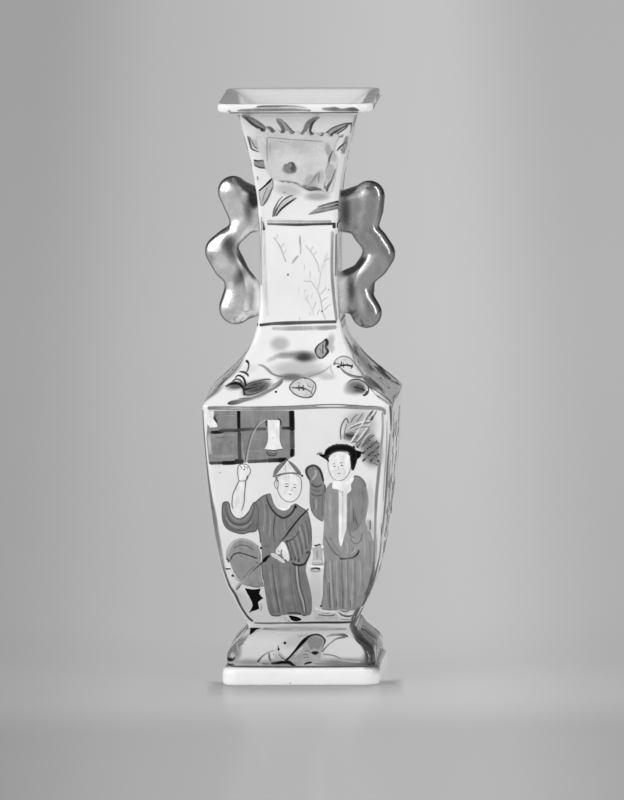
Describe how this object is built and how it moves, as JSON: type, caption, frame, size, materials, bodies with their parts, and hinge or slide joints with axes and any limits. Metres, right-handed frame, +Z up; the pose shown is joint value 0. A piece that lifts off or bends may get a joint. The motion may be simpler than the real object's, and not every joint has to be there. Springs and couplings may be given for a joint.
{
  "type": "square baluster vase",
  "caption": "Small square baluster vase of glazed porcelain with a tall flared neck, a splayed foot, two scroll handles and a torn paper label.",
  "frame": {"origin": "middle of the foot, on the surface it stands on", "axes": "+Z up along the vase; -Y out of the painted main face that carries the label; +X to the right seen from that face, through the right handle"},
  "size_m": [0.0443, 0.044, 0.135],
  "materials": {
    "porcelain": "glossy clear glaze over white porcelain, with painted enamel scenes and borders",
    "label_paper": "old matt gummed paper, torn and stained"
  },
  "bodies": {
    "root": {"vase": "porcelain", "paper_label": "label_paper"}
  },
  "joints": []
}
